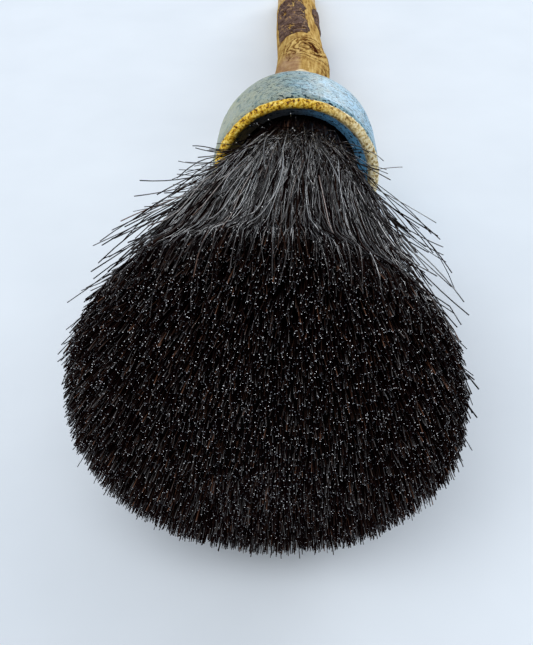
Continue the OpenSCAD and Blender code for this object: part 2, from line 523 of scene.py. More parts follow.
def hair_object(name, rings, look):
    """One mesh of closed tubes, whose UVs hold a strand's shade column and the place along it."""
    count, levels, sides, _ = rings.shape
    start = np.arange(count)[:, None, None] * levels * sides
    level = np.arange(levels - 1)[None, :, None] * sides
    here = np.arange(sides)
    there = (here + 1) % sides
    a, b = start + level + here, start + level + there
    quads = np.stack([a, b, b + sides, a + sides], -1).reshape(-1, 4)
    column = rng.integers(0, SHADE_COLUMNS, count)
    u = (column[:, None] + np.arange(sides + 1) / sides) / SHADE_COLUMNS
    v = 0.03 + (TIP_BAND - 0.04) * np.arange(levels) / (levels - 1)
    u0, u1, v0, v1 = np.broadcast_arrays(
        u[:, None, :-1], u[:, None, 1:], v[None, :-1, None], v[None, 1:, None]
    )
    quad_uv = np.stack([u0, v0, u1, v0, u1, v1, u0, v1], -1).reshape(-1, 4, 2)
    first = (np.arange(count) * levels * sides)[:, None]
    last = first + (levels - 1) * sides
    caps = np.concatenate([first + [2, 1, 0], last + [0, 1, 2]])
    left, right = (column + 0.1) / SHADE_COLUMNS, (column + 0.9) / SHADE_COLUMNS
    middle = (left + right) / 2
    cap_uv = np.concatenate([
        np.stack([left, low, right, low, middle, low + 0.02], -1).reshape(-1, 3, 2)
        for low in (np.full(count, 0.005), np.full(count, TIP_BAND + 0.01))
    ])
    piece = new_piece(name, rings.reshape(-1, 3), quads, caps, quad_uv, cap_uv, flat_triangles=True)
    bend(piece, look)


def plant(name, rings, look):
    """Splits strands between pieces, so that none holds too many triangles."""
    triangles_each = (rings.shape[1] - 1) * STRAND_SIDES * 2 + 2
    parts = math.ceil(len(rings) * triangles_each / HAIR_PIECE_TRIANGLES)
    for i in range(parts):
        hair_object(f"{name}_{i + 1}" if parts > 1 else name, rings[i::parts], look)


def coat_tips():
    """Tips spread over the whole outline: their depth in the bundle, and their places."""
    density = np.interp(outline_out, *np.transpose(TIP_DENSITY))
    grown = np.cumsum(np.gradient(outline_length) * 2 * np.pi * outline_r * density)
    count = int(grown[-1])
    share = (np.arange(count) + rng.uniform(0, 1, count)) / count
    length = np.interp(share * grown[-1], grown, outline_length)
    out, radius = (np.interp(length, outline_length, line) for line in (outline_out, outline_r))
    normal_out, normal_r = (
        np.interp(length, outline_length, np.gradient(line, outline_length))
        for line in (outline_r, -outline_out)
    )
    angle = (np.arange(count) * GOLDEN_ANGLE + rng.normal(0, 0.035, count)) % (2 * np.pi)
    depth = rng.normal(0, UNEVEN_CUT, count) + DOME_FULLER * bell(out, tuft_reach + 14, 8)
    depth -= END_INSET * smooth(tuft_end - 8, tuft_end - 1, out)
    short = rng.uniform(size=count) < SHORT_SHARE
    depth -= np.where(short, rng.uniform(0, SHORTEST, count), 0)
    depth += LOCK_HEIGHT * rough_noise(tuft_axis.place(radius, angle, out), LOCK_SIZE)
    lifted = radius - thinning(out, angle) + depth * normal_r
    return share, tuft_axis.place(np.maximum(lifted, 0), angle, out + depth * normal_out), out


def coat():
    """The whole coat of cut tips, from the far end to the neck."""
    share, tips, out = coat_tips()
    root_r = ROOT_R * np.sqrt(share)
    coat_lift = rng.uniform(0, 0.6, len(out))
    dome = out > DOME_START
    neck = out + rng.normal(0, 9, len(out)) < NECK_END + 9
    for name, chosen, turn, visible, segments, thickness, look in (
        ("hair_end", dome, 5, 8.0, 2, 0.75, dull_hair),
        ("hair_sides", ~dome & ~neck, 5, 26.0, 6, 0.72, dull_hair),
        ("hair_neck", neck, 15, 60.0, 8, 0.95, bright_hair),
    ):
        directions = fanned(tips[chosen], FAN_BACK, turn)
        lines = grow(tips[chosen], directions, root_r[chosen], coat_lift[chosen], visible, segments)
        plant(name, strands(lines, thickness), look)


def any_angle(count):
    return rng.uniform(0, 2 * np.pi, count)


def scattered(
    name, out, angle, lift, back, turn, visible, segments,
    curl=0.014, twist=0.12, thickness=1.0, droop=1.0, until=WIDEST,
):
    """Hairs whose tips stand off the coat by lift, and point away from a place on the axis."""
    tips = tuft_axis.place(tuft_radius(out) - thinning(out, angle) + lift, angle, out)
    root_r = rng.uniform(0.75, 1, len(out)) * ROOT_R
    directions = fanned(tips, back, turn, droop, until)
    lines = grow(tips, directions, root_r, lift, visible, segments, curl, twist, until)
    plant(name, strands(lines, thickness), bright_hair)


def loose_hair():
    """Long hairs that lie over the coat and cross each other, from the neck to the widest section."""
    count = 3000
    out = 5 + 50 * rng.beta(1.3, 1.7, count)
    angle = any_angle(count)
    lift = rng.normal(0.4, 0.8, count)
    scattered(
        "hair_loose", out, angle, lift, back=FAN_BACK, turn=15, visible=45.0, segments=8,
        curl=0.02, twist=0.45, thickness=0.95,
    )


def lying_hair():
    """Long hairs that lie flat on the coat in loose locks, from the neck to the wide part."""
    count = 7000
    out = 20 + 62 * rng.beta(1.2, 1.4, count)
    angle = any_angle(count)
    lock = noise(tuft_axis.place(tuft_radius(out), angle, 0.5 * out), 6.0, 1)
    kept = lock + rng.normal(0, 0.25, count) > -0.05 + 0.25 * smooth(50, 80, out)
    out, angle = out[kept], angle[kept]
    lift = rng.uniform(0.3, 1.8, len(out))
    scattered(
        "hair_lying", out, angle, lift, back=80.0, turn=6, visible=34.0, segments=6,
        curl=0.016, twist=0.3, thickness=0.9, droop=0.5,
    )


def draped_hair():
    """Long hairs that lie over the top of the widest section and hang over the start of the dome."""
    count = 1500
    out = 56 + 38 * rng.beta(1.1, 1.5, count)
    angle = np.radians(90 + 45 * rng.normal(size=count))
    lift = rng.uniform(0.2, 1.6, count)
    scattered(
        "hair_draped", out, angle, lift, back=60.0, turn=8, visible=34.0, segments=9,
        twist=0.3, thickness=0.9, droop=2.0, until=92,
    )


def stray_hair():
    """Hairs that are longer than the coat, and make the outline of the sides spiky."""
    count = 2000
    out = 10 + 86 * rng.uniform(size=count)
    angle = any_angle(count)
    lift = rng.gamma(1.5, 1.5, count).clip(0, 7) * smooth(tuft_end, tuft_reach - 8, out)
    scattered("hair_stray", out, angle, lift, back=14.0, turn=6, visible=36.0, segments=6)


def streak_hair():
    """Hairs that lie flat on the coat of the wide part, and catch the light along their length."""
    count = 700
    out = 60 + 32 * rng.uniform(size=count)
    angle = any_angle(count)
    lift = rng.uniform(0.2, 1.6, count) * smooth(tuft_end, tuft_reach, out)
    scattered(
        "hair_streak", out, angle, lift, back=90.0, turn=5, visible=30.0, segments=6,
        twist=0.2, thickness=0.9,
    )


def crossing_hair():
    """A few hairs that run across the others over the neck."""
    count = 90
    out = 12 + 40 * rng.uniform(size=count)
    angle = any_angle(count)
    lift = 0.8 + rng.gamma(1.5, 0.6, count)
    scattered(
        "hair_crossing", out, angle, lift, back=4.0, turn=16, visible=50.0, segments=14,
        curl=0.035, twist=0.9,
    )


def flyaway_hair():
    """Hairs that leave the outline: flat over the bead on the left, and long and curved on the right."""
    for side, count, middle, first, reach, lifts, back in (
        ("left", 190, 178, 8, 50, 7.0, 0.0),
        ("right", 70, 4, 24, 46, 6.5, 8.0),
        ("around", 80, 270, 10, 60, 3.0, 8.0),
    ):
        out = first + reach * rng.uniform(size=count) ** 1.3
        spread = 80 if side == "around" else 18
        angle = np.radians(middle + spread * rng.normal(size=count))
        lift = (0.6 + rng.gamma(1.6, lifts / 1.6, count)).clip(0, 12)
        name = f"hair_flyaway_{side}"
        scattered(name, out, angle, lift, back, turn=8, visible=55.0, segments=12, curl=0.024)


def hair_core():
    """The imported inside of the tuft, a little under the tips, which stands for the plain solid.

    Its back closes on the bound root inside the cup, and it fills the cup's mouth.
    """
    core_end = tuft_end - CORE_INSET
    out = np.linspace(neck_out + 1, core_end, CORE_LEVELS)
    depth = 0.8 * CORE_INSET * smooth(0, 14, out)
    radius = np.clip(tuft_radius(out * (tuft_end / core_end)) - depth, 0.3, None)
    mouth = [(-0.1 - r * math.tan(ROOT_CONE), r) for r in (0.3, ROOT_R * 0.5, ROOT_R, ROOT_R + 0.3)]
    line = resample(np.concatenate([mouth, [(0, ROOT_R)], np.stack([out, radius], 1)]), CORE_STEP)
    out, radius, angle = spun(line, CORE_COLUMNS)
    bumps = 0.5 * noise(tuft_axis.place(radius, angle, out), 1.6) * smooth(0, 4, out)
    grid = tuft_axis.place(np.maximum(radius - thinning(out, angle) + bumps, 0.2), angle, out)
    grid[..., 2] = np.maximum(grid[..., 2], 2 * TABLE_GAP + 0.2)
    piece = turned("hair_core", grid)
    paint(piece, "brush", np.concatenate([grid.reshape(-1, 3), grid[[0, -1]].mean(1)]))
    bend(piece, make_core_look())
    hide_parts("hair_tuft")


def make_hair_look(name, *sheen_stops):
    """Black hair whose cut ends carry a painted glint, a pale colour standing for their reflections; a few hairs
    are brown, and the sheen differs from hair to hair.
    """
    look = Look(name)
    u, v, _ = look.parts(look.new("UVMap", uv_map=BAKE_UV).outputs[0])
    column = look.math("FLOOR", look.times(u, float(SHADE_COLUMNS)))

    def per_hair(number):
        return look.new("TexWhiteNoise", {"W": number}, noise_dimensions="1D").outputs["Value"]

    shade = per_hair(column)
    colour = look.ramp(
        shade,
        (0.0, (0.003, 0.001, 0.001)),
        (0.6, (0.009, 0.004, 0.004)),
        (0.90, (0.022, 0.011, 0.008)),
        (0.955, (0.055, 0.026, 0.016)),
        (0.98, (0.32, 0.15, 0.09)),
    )
    # Painted highlight: the cut ends get pale grey to white colours that stand for the light they reflect,
    # brighter on some hairs than others.
    glint = per_hair(look.plus(column, 0.5))
    painted_tip_glint = look.ramp(
        glint,
        (0.1, (0.015, 0.015, 0.017)),
        (0.55, (0.12, 0.13, 0.15)),
        (0.80, (0.50, 0.52, 0.57)),
        (0.95, (1.0, 1.0, 1.0)),
    )
    look.set(base_color=look.mix(look.math("GREATER_THAN", v, TIP_BAND), colour, painted_tip_glint))
    sheen = per_hair(look.plus(column, 0.25))
    look.set(specular_ior_level=look.ramp(sheen, *sheen_stops))
    look.set(roughness=look.plus(look.times(shade, 0.12), 0.26))
    return look.material


def make_core_look():
    # Black like the hair, and darker still: partly painted shade of the bundle's depths, seen in the gaps between
    # strands.
    look = Look("packed_hair_painted_shade", roughness=0.9, specular_ior_level=0.0)
    streaks = look.noise(look.scale(look.attribute("brush", "Vector"), (2.2, 0.5, 2.2)), 1.0)
    look.set(base_color=look.ramp(streaks, (0.35, (0.001, 0.001, 0.001)), (0.7, (0.004, 0.003, 0.003))))
    return look.material


# The cup

CUP_COLUMNS = 288
CUP_STEP = 0.34
SOCKET_CLEARANCE = 0.02
SHOULDER_SHARE = 0.62
PIT_DEPTH = 0.09
THUMB = (math.radians(139), 15.5)


def cup_line():
    """The cup's section as a loop: shoulder, bead, lip, the hair's hole and the peg's socket."""
    low = cup_section[cup_section[:, 0] < 3]
    bead_r = low[low[:, 1].argmax(), 0]
    bead_centre = low[:, 1].max() - bead_r
    shoulder = np.unique(cup_section[cup_section[:, 0] > bead_r + 0.01, 0])[::-1]
    shoulder_r = outer_radius(cup_section[cup_section[:, 1] > mouth_r * SHOULDER_SHARE], shoulder)
    keep = shoulder_r > mouth_r * SHOULDER_SHARE
    outer = np.stack([shoulder, shoulder_r], 1)[keep]
    wall = outer[(outer[:, 1] > mouth_r + 1) | (outer[:, 0] > mouth_depth + 1)]
    sweep = np.linspace(0, -math.pi, 20)
    bead = np.stack([bead_r + bead_r * np.sin(sweep), bead_centre + bead_r * np.cos(sweep)], 1)
    peg = section("handle_glue", handle_axis)
    socket_r = peg[peg[:, 0] < cup_len - 1, 1].max() + SOCKET_CLEARANCE
    inside = [
        (bead_r * 3.3, mouth_r + SOCKET_CLEARANCE),
        (mouth_depth + SOCKET_CLEARANCE, mouth_r + SOCKET_CLEARANCE),
        (mouth_depth + SOCKET_CLEARANCE, socket_r),
        (cup_len, socket_r),
    ]
    loop = np.concatenate([wall, bead, inside, wall[:1]])
    return resample(loop, CUP_STEP)[:-1], bead_r, bead_centre


def cup():
    """The glazed stoneware cup, with its hand-made wobble, a lumpy bead, dents and glaze pits."""
    line, bead_r, bead_centre = cup_line()
    along, radius, angle = spun(line, CUP_COLUMNS)
    points = handle_axis.place(radius, angle, along)
    past_mouth = smooth(mouth_r + 0.2, mouth_r + 1.2, radius)
    on_back = smooth(20, 24, along) * smooth(8.3, 9.3, radius)
    outside = np.clip(past_mouth + on_back, 0, 1)
    from_bead = np.hypot(along - bead_r, radius - bead_centre)
    on_bead = 1 - smooth(bead_r * 1.12, bead_r * 1.3, from_bead + 0.12 * noise(points, 1.1, 1))
    wobble = 0.16 * noise(points, 14.0) + 0.05 * noise(points, 4.0, 1)
    lumps = 0.12 * noise(points, 1.4, 2) + 0.09 * noise(points, 0.7, 3)
    pits = smooth(0.45, 0.7, noise(points * [1, 0.6, 1], 1.0, 1)) * (1 - on_bead)
    groove = -0.13 * bell(along, bead_r * 2 + 0.35, 0.3)
    left = smooth(0.1, 0.9, -np.cos(angle))
    crease = 0.30 * left * smooth(5.6, 4.6, along + 0.5 * noise(points, 6.0)) * (1 - on_bead)
    thumb = -0.5 * bell(along, THUMB[1], 0.9) * bell(angle, THUMB[0], 0.14)
    relief = wobble + lumps * (0.25 + on_bead) - PIT_DEPTH * pits + groove + crease + thumb
    grid = handle_axis.place(radius + relief * outside, angle, along + 0.05 * lumps * outside)
    piece = turned("cup_ferrule_glazed", grid, closed=True)
    paint(piece, "brush", flat_place(radius, angle, along).reshape(-1, 3))
    from_below = (angle + math.pi / 2) % (2 * math.pi)
    paint(piece, "wrapped", np.stack([from_below * cup_r, along, radius], -1).reshape(-1, 3))
    paint(piece, "bead", on_bead.ravel())
    inner = smooth(bead_centre - bead_r * 0.75, bead_centre - bead_r * 1.1, radius) * smooth(20, 18, along)
    paint(piece, "lip", (inner * (1 - on_bead)).ravel())
    paint(piece, "pits", pits.ravel())
    stand_for(piece, "cup_ferrule", make_glaze_look())


def make_glaze_look():
    look = Look("stoneware_glaze", specular_ior_level=0.1, coat_weight=0.05, coat_roughness=0.12)
    at = look.attribute("brush", "Vector")
    x, _, _ = look.parts(at)
    to_right = look.plus(look.times(x, 0.5 / cup_r), 0.5)
    cloud = look.math("SUBTRACT", look.noise(at, 0.16, 4.0, 0.6), 0.5)
    # Glaze colour across the cup, greenish grey on the left to blue on the right: the change of hue is the glaze's
    # own, and the brighter blue towards the right is painted light, the lit side reflecting the sky.
    glaze = look.ramp(
        look.plus(to_right, look.times(cloud, 0.8)),
        (0.08, (0.47, 0.49, 0.36)),
        (0.38, (0.35, 0.40, 0.33)),
        (0.56, (0.27, 0.40, 0.43)),
        (0.88, (0.34, 0.57, 0.74)),
    )
    patches = look.noise(at, 0.42, 4.0)
    glaze = look.mix(look.ramp(patches, (0.50, 0.0), (0.66, 0.5)), glaze, (0.42, 0.46, 0.43))
    wrapped = look.attribute("wrapped", "Vector")
    mottle = look.noise(look.scale(wrapped, (0.7, 1.2, 1.0)), 1.5, 5.0, 0.5)
    glaze = look.mix(look.ramp(mottle, (0.50, 0.0), (0.60, 0.32)), glaze, (0.17, 0.31, 0.38))
    dashes = look.noise(look.scale(wrapped, (0.55, 1.3, 1.0)), 1.9, 1.5, 0.5)
    specks = look.noise(wrapped, 3.4, 1.5)
    dashes = look.ramp(dashes, (0.585, 0.0), (0.605, 1.0))
    dark = look.math("MAXIMUM", dashes, look.ramp(specks, (0.64, 0.0), (0.655, 1.0)))
    few_left = look.ramp(to_right, (0.1, 0.25), (0.42, 1.0))
    glaze = look.mix(look.times(dark, few_left), glaze, (0.012, 0.036, 0.050))
    glaze = look.mix(look.times(look.attribute("pits"), 0.5), glaze, (0.05, 0.13, 0.17))
    # The lip's glaze is blue with dark specks; the ramp also paints its light and shade: dark brown-grey on the
    # left as painted shade and reflected hair, brightened blue on the right as painted light.
    lip = look.ramp(
        to_right,
        (0.08, (0.20, 0.15, 0.05)),
        (0.25, (0.06, 0.05, 0.037)),
        (0.50, (0.09, 0.115, 0.15)),
        (0.66, (0.12, 0.32, 0.54)),
        (0.95, (0.18, 0.48, 0.78)),
    )
    lip = look.mix(dark, lip, (0.012, 0.02, 0.03))
    colour = look.mix(look.attribute("lip"), glaze, lip)
    grain = look.noise(wrapped, 1.5, 4.0, 0.4)
    ochre = look.ramp(
        grain,
        (0.37, (0.09, 0.032, 0.005)),
        (0.43, (0.48, 0.24, 0.020)),
        (0.53, (0.80, 0.50, 0.040)),
        (0.66, (1.00, 0.78, 0.220)),
    )
    # Towards the right the bead's ochre turns cream to pale white: partly the bead's own paler glaze, partly a
    # painted highlight.
    cream = look.ramp(
        grain,
        (0.36, (0.30, 0.19, 0.06)),
        (0.47, (0.76, 0.64, 0.34)),
        (0.60, (0.92, 0.88, 0.72)),
    )
    ochre = look.mix(look.ramp(to_right, (0.6, 0.0), (0.92, 0.85)), ochre, cream)
    bead = look.attribute("bead")
    look.set(base_color=look.mix(bead, colour, ochre))
    look.set(roughness=look.math("SUBTRACT", 0.5, look.times(bead, 0.22)))
    look.bump(look.noise(wrapped, 2.0, 3.0), 0.09, 0.6)
    return look.material


# The branch

HANDLE_COLUMNS = 160
HANDLE_STEP = 0.30
BRANCH_R = 7.5
CROOK = 1.2
EYE = (math.radians(68), 75.5)
EYE_STREAKS = [(66, 75.3, 4.4, -7, 0.75), (79, 76.0, 2.6, -9, 0.45), (60, 69.8, 1.5, 14, 0.6)]
SIDE_KNOTS = [(112, 66.0, 2.2), (148, 78.0, 2.8), (35, 62.5, 1.8), (250, 92.0, 3.0), (320, 100.0, 2.4)]

shoulder = branch_section[branch_section[:, 1] > BRANCH_R - 0.1, 0].min()


def around(angle, centre):
    """The distance round the branch from an angle, in millimetres."""
    return BRANCH_R * ((angle - centre + math.pi) % (2 * math.pi) - math.pi)


def crook(along):
    """How far the branch's own centre line lies to the right of the cup's axis at each place."""
    bowed = branch_shift + CROOK * bell(along, 72, 32)
    return (bowed * smooth(cup_len + 4, shoulder, along))[..., None] * handle_axis.across


def handle_line():
    """The whole handle's section: the thin neck about the cup's axis, and the branch about its own."""
    neck = section("handle", handle_axis)
    neck = neck[neck[:, 0] < shoulder - 0.1]
    thick = branch_section[:, 1] > BRANCH_R - 0.1
    branch = branch_section[(branch_section[:, 0] > shoulder + 0.1) | thick]
    pairs = np.concatenate([neck, branch])
    last = pairs[:, 0] > handle_end - 0.02
    return resample(np.concatenate([pairs[~last], pairs[last][::-1]]), HANDLE_STEP)


def branch_shape(angle, along):
    """Relief of the bare branch over its plain outline, how dark its marks are, and rings round the eye."""
    angle, along = np.broadcast_arrays(angle, along)
    flat = flat_place(BRANCH_R, angle, along)
    from_eye = np.hypot(around(angle, EYE[0]) * 1.1, (along - EYE[1]) * 0.85)
    warp = 1.2 * noise(flat, 3.6, 1) + 0.7 * noise(flat, 1.5, 2)
    rings = np.sin(2 * np.pi * (from_eye + warp) / 1.7)
    broken = smooth(-0.25, 0.25, noise(flat, 1.9, 3))
    near = 1 - smooth(7.5, 13.0, from_eye)
    marks = smooth(0.25, 0.9, rings) * broken * near * 0.8
    for degrees, at, size in SIDE_KNOTS:
        reach = np.hypot(around(angle, math.radians(degrees)), along - at)
        marks = np.maximum(marks, bell(reach + 0.5 * warp, size * 0.6, 0.35) * broken)
    for degrees, at, half_length, slant, half_width in EYE_STREAKS:
        part = (along - at) / half_length
        middle = math.radians(degrees) + np.radians(slant) * -part - 0.07 * (1 - part ** 2)
        aside = np.abs(around(angle, middle) + 0.25 * noise(flat, 1.0, 1))
        streak = smooth(half_width * 1.3, half_width * 0.7, aside) * smooth(1.1, 0.85, np.abs(part))
        marks = np.maximum(marks, streak * 1.15)
    bulge = bell(along, 73, 9.0) * (0.5 * np.cos(angle - math.radians(12)) - 0.2)
    bump = 0.45 * bell(along, 69, 3.6) * bell(around(angle, math.pi), 0, 3.5)
    waves = 0.28 * noise(flat * [1, 1, 0.35], 5.0) + 0.10 * noise(flat * [1.6, 1.6, 0.3], 1.6, 2)
    relief = bulge + bump + waves - 0.22 * marks + 0.14 * noise(flat, 0.9, 3) * near
    return relief, np.clip(marks, 0, 1), from_eye + warp


def handle():
    """The branch, from its peg in the cup to the sawn butt."""
    along, radius, angle = spun(handle_line(), HANDLE_COLUMNS)
    relief, marks, from_eye = branch_shape(angle, along)
    bare = smooth(shoulder - 0.4, shoulder + 1.6, along)
    grip_start = grip_mount["dims"]["length_mm"] + 2.0
    shaved = smooth(handle_end - grip_start, handle_end - grip_start + 2.5, along)
    facets = 0.10 * np.cos(9 * angle + 1.5 * noise(np.stack([angle * 0, angle * 0, along], -1), 20.0))
    rim = smooth(0.5, 4.0, radius)
    relief = bare * (relief * (1 - shaved) + (facets + 0.04 * marks) * shaved) * rim
    saw_marks = 0.08 * np.cos(radius * np.cos(angle) * 5.0) * smooth(handle_end - 0.05, handle_end, along)
    grid = handle_axis.place(np.maximum(radius + relief, 0.15), angle, along - saw_marks) + crook(along)
    piece = turned("branch_handle", grid)

    def with_poles(values):
        return np.concatenate([values.reshape(-1, *values.shape[2:]), values[[0, -1]].mean(axis=1)])

    coordinates = flat_place(radius, angle, along)
    paint(piece, "brush", with_poles(coordinates))
    paint(piece, "marks", with_poles(marks * bare * (1 - 0.8 * shaved)))
    paint(piece, "eye", with_poles(from_eye))
    paint(piece, "shaved", with_poles(shaved))
    crescent = shoulder + 0.4 + 2.4 * bell(around(angle, math.radians(95)), 0, 3.0)
    cut = 1 - smooth(crescent - 0.25, crescent + 0.25, along + 0.3 * noise(coordinates, 1.5))
    paint(piece, "cut", with_poles(cut))
    flame = bell(around(angle, math.radians(82)), 0, 2.8) * bell(along, shoulder + 5.0, 3.4)
    paint(piece, "flame", with_poles(flame))
    stand_for(piece, "handle", make_wood_look())


def make_wood_look():
    look = Look("branch_wood", roughness=0.65, specular_ior_level=0.0)
    at = look.attribute("brush", "Vector")
    x, y, z = look.parts(at)
    streaks = look.noise(look.scale(at, (1.0, 1.0, 0.14)), 1.1, 5.0, 0.6)
    wood = look.ramp(
        streaks,
        (0.30, (0.17, 0.070, 0.014)),
        (0.42, (0.40, 0.23, 0.065)),
        (0.56, (0.55, 0.35, 0.110)),
        (0.74, (0.72, 0.52, 0.220)),
    )
    above_knot = look.ramp(look.math("DIVIDE", z, 100.0), (0.67, 0.0), (0.75, 1.0))
    below_knot = look.rest(above_knot)
    to_left = look.ramp(look.times(x, -0.1), (0.0, 0.0), (0.12, 1.0))
    pink = look.times(look.times(below_knot, to_left), 0.8)
    blotches = look.noise(at, 0.25, 3.0)
    pink_wood = look.ramp(blotches, (0.35, (0.33, 0.18, 0.10)), (0.7, (0.46, 0.29, 0.18)))
    wood = look.mix(pink, wood, pink_wood)
    unshaved = look.rest(look.attribute("shaved"))
    eye = look.attribute("eye")
    near = look.ramp(look.math("DIVIDE", eye, 20.0), (0.36, 1.0), (0.60, 0.15))
    hooks = look.noise(look.scale(at, (1.0, 1.0, 0.8)), 0.75, 4.0, 1.6)
    bent = look.plus(look.times(eye, 2.9), look.times(hooks, 9.0))
    rings = look.math("SINE", bent)
    hooked = look.ramp(hooks, (0.45, 0.0), (0.50, 1.0))
    lines = look.times(look.ramp(rings, (0.45, 0.0), (0.8, 1.0)), hooked)
    glow = look.times(look.ramp(look.plus(rings, 1.0), (0.2, 1.0), (0.8, 0.0)), near)
    wood = look.mix(look.times(glow, 0.6), wood, (0.76, 0.54, 0.20))
    dark = look.times(look.times(lines, near), unshaved)
    wood = look.mix(look.times(dark, 0.95), wood, (0.10, 0.034, 0.007))
    marks = look.attribute("marks")
    mark_colour = look.ramp(marks, (0.6, (0.13, 0.045, 0.010)), (0.95, (0.050, 0.012, 0.005)))
    wood = look.mix(marks, wood, mark_colour)
    tongues = look.noise(look.scale(at, (1.0, 1.0, 0.5)), 1.3, 2.0, 1.0)
    flame_colour = look.ramp(tongues, (0.46, (0.34, 0.10, 0.006)), (0.53, (1.0, 0.60, 0.07)))
    wood = look.mix(look.attribute("flame"), wood, flame_colour)
    cream = look.ramp(look.noise(at, 1.4, 3.0), (0.3, (0.66, 0.50, 0.30)), (0.7, (0.86, 0.75, 0.55)))
    wood = look.mix(look.attribute("cut"), wood, cream)
    pale = look.ramp(streaks, (0.35, (0.50, 0.32, 0.14)), (0.65, (0.68, 0.50, 0.27)))
    wood = look.mix(look.times(look.attribute("shaved"), 0.85), wood, pale)
    squares = look.plus(look.times(x, x), look.times(y, y))
    from_axis = look.math("SQRT", squares)
    growth = look.math("SINE", look.times(from_axis, 6.5))
    end_grain = look.ramp(growth, (0.2, (0.40, 0.25, 0.12)), (0.9, (0.60, 0.43, 0.24)))
    butt = look.math("GREATER_THAN", z, float(handle_end - 0.2))
    look.set(base_color=look.mix(butt, wood, end_grain))
    look.bump(look.noise(look.scale(at, (1.0, 1.0, 0.15)), 4.0, 3.0), 0.12, 0.5)
    return look.material


# The bark

BARK_T = 0.6
BARK_STEP = 0.28
BARK_ROOT = 0.25


def flakes():
    """Each separate flake of the frame's bark, as its lengthwise range and its range of angles."""
    shape = bmesh.new()
    shape.from_mesh(frame["nodes"]["bark_patches"].data)
    bmesh.ops.remove_doubles(shape, verts=shape.verts, dist=0.002 * MM)
    waiting = set(shape.verts)
    found = []
    while waiting:
        part, edge = set(), [next(iter(waiting))]
        while edge:
            vertex = edge.pop()
            if vertex in part:
                continue
            part.add(vertex)
            edge.extend(e.other_vert(vertex) for e in vertex.link_edges)
        waiting -= part
        _, angle, along = branch_axis.measure(np.array([v.co for v in part], float) / MM)
        middle = math.atan2(np.sin(angle).mean(), np.cos(angle).mean())
        off = (angle - middle + math.pi) % (2 * math.pi) - math.pi
        found.append((along.min(), along.max(), middle + (off.max() + off.min()) / 2, np.ptp(off) / 2))
    shape.free()
    return sorted(found)


def bark():
    """Ragged flakes of bark on the branch, thin at their edges and cracked along the branch."""
    found = flakes()
    low = min(f[0] for f in found) - 2
    high = max(f[1] for f in found) + 2
    along = np.arange(low, high, BARK_STEP)[:, None]
    angle = np.linspace(0, 2 * np.pi, 168, endpoint=False)[None]
    along, angle = np.broadcast_arrays(along, angle)
    flat = flat_place(BRANCH_R, angle, along)
    inside = np.full(along.shape, -9.0)
    for start, end, middle, half in found:
        sideways = half * BRANCH_R - np.abs(around(angle, middle))
        inside = np.maximum(inside, np.minimum(sideways, np.minimum(along - start, end - along)))
    inside = inside + 0.3 + 1.6 * rough_noise(flat * [1, 1, 0.6], 4.5, 1)
    cracks = np.abs(noise(flat * [0.6, 0.6, 0.8], 2.6, 2))
    inside = np.minimum(inside, (cracks - 0.02) * 9)
    thick = BARK_T * smooth(0, 1.3, inside) * (0.75 + 0.35 * noise(flat * [1, 1, 0.4], 1.8, 3))
    relief, _, _ = branch_shape(angle, along)
    wood_r = outer_radius(branch_section, along) + relief
    solid = inside > 0
    cell = solid & np.roll(solid, -1, 1) & np.roll(solid, -1, 0) & np.roll(np.roll(solid, -1, 0), -1, 1)
    cell[-1] = False
    cell = tidy_cells(cell)
    outer = handle_axis.place(wood_r + 0.04 + thick, angle, along) + crook(along)
    inner = handle_axis.place(wood_r - BARK_ROOT, angle, along) + crook(along)
    piece, used = shell("bark_flakes", outer, inner, cell)
    coordinates = np.concatenate([flat.reshape(-1, 3)] * 2)[used]
    paint(piece, "brush", coordinates)
    paint(piece, "edge", np.concatenate([thick.ravel() / BARK_T] * 2)[used])
    stand_for(piece, "bark_patches", make_bark_look())


def tidy_cells(cell):
    """Removes cells that touch another only at a corner, so that the shell is a clean solid."""
    for _ in range(6):
        right, down = np.roll(cell, -1, 1), np.roll(cell, -1, 0)
        diagonal = np.roll(down, -1, 1)
        crossed = (cell & diagonal & ~right & ~down) | (right & down & ~cell & ~diagonal)
        cell = cell & ~crossed & ~np.roll(crossed, 1, 1)
    return cell


def shell(name, outer, inner, cell):
    """A closed solid between two grids, over the chosen cells, and which grid points it uses.

    The columns wrap round, and the two grids get half of the UV map each.
    """
    rows, columns = cell.shape
    index = np.arange(rows * columns).reshape(rows, columns)
    right, down = np.roll(index, -1, 1), np.roll(index, -1, 0)
    diagonal = np.roll(down, -1, 1)
    top = np.stack([index, right, diagonal, down], -1)[cell]
    under = top[:, ::-1] + rows * columns
    neighbours = (
        (~np.roll(cell, 1, 0), index, right),
        (~np.roll(cell, -1, 1), right, diagonal),
        (~np.roll(cell, -1, 0), diagonal, down),
        (~np.roll(cell, 1, 1), down, index),
    )
    walls = []
    for open_side, a, b in neighbours:
        a, b = a[cell & open_side], b[cell & open_side]
        walls.append(np.stack([b, a, a + rows * columns, b + rows * columns], -1))
    quads = np.concatenate([top, under, *walls])
    points = np.concatenate([outer.reshape(-1, 3), inner.reshape(-1, 3)])
    used, quads = np.unique(quads, return_inverse=True)
    quads = quads.reshape(-1, 4)
    points = points[used]
    no_triangles = np.zeros((0, 3), int)
    if inside_out(points, quads, no_triangles):
        quads = quads[:, ::-1]
    place = used % (rows * columns)
    half_map = place // columns / rows * 0.49 + 0.5 * (used >= rows * columns)
    quad_uv = np.stack([place % columns / columns, half_map], -1)[quads]
    seam = np.ptp(quad_uv[..., 0], axis=1) > 0.5
    quad_uv[seam, :, 0] = np.where(quad_uv[seam, :, 0] < 0.5, 1.0, quad_uv[seam, :, 0])
    return new_piece(name, points, quads, no_triangles, quad_uv, np.zeros((0, 3, 2))), used


